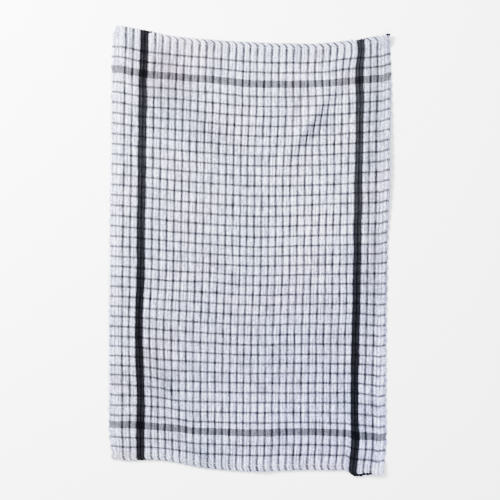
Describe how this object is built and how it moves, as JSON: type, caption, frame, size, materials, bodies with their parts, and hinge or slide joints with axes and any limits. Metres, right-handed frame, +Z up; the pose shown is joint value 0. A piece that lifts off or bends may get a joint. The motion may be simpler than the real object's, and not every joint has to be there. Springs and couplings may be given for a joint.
{
  "type": "tea towel",
  "caption": "Rectangular woven cotton check tea towel for drying dishes, hemmed at both ends, lying face up with its softly sagging rows and low folds.",
  "frame": {"origin": "on the surface that the towel lies on, under the middle of its outline", "axes": "+X across the cloth from the left selvedge to the right one, +Y along the cloth to the upper hem, +Z up out of the face"},
  "size_m": [0.4562, 0.7288, 0.0094],
  "materials": {
    "check_cotton": "ribbed terry cotton, white ground with a charcoal check, two black side stripes and a grey band at each end"
  },
  "bodies": {
    "root": {"towel": "check_cotton"}
  },
  "joints": []
}
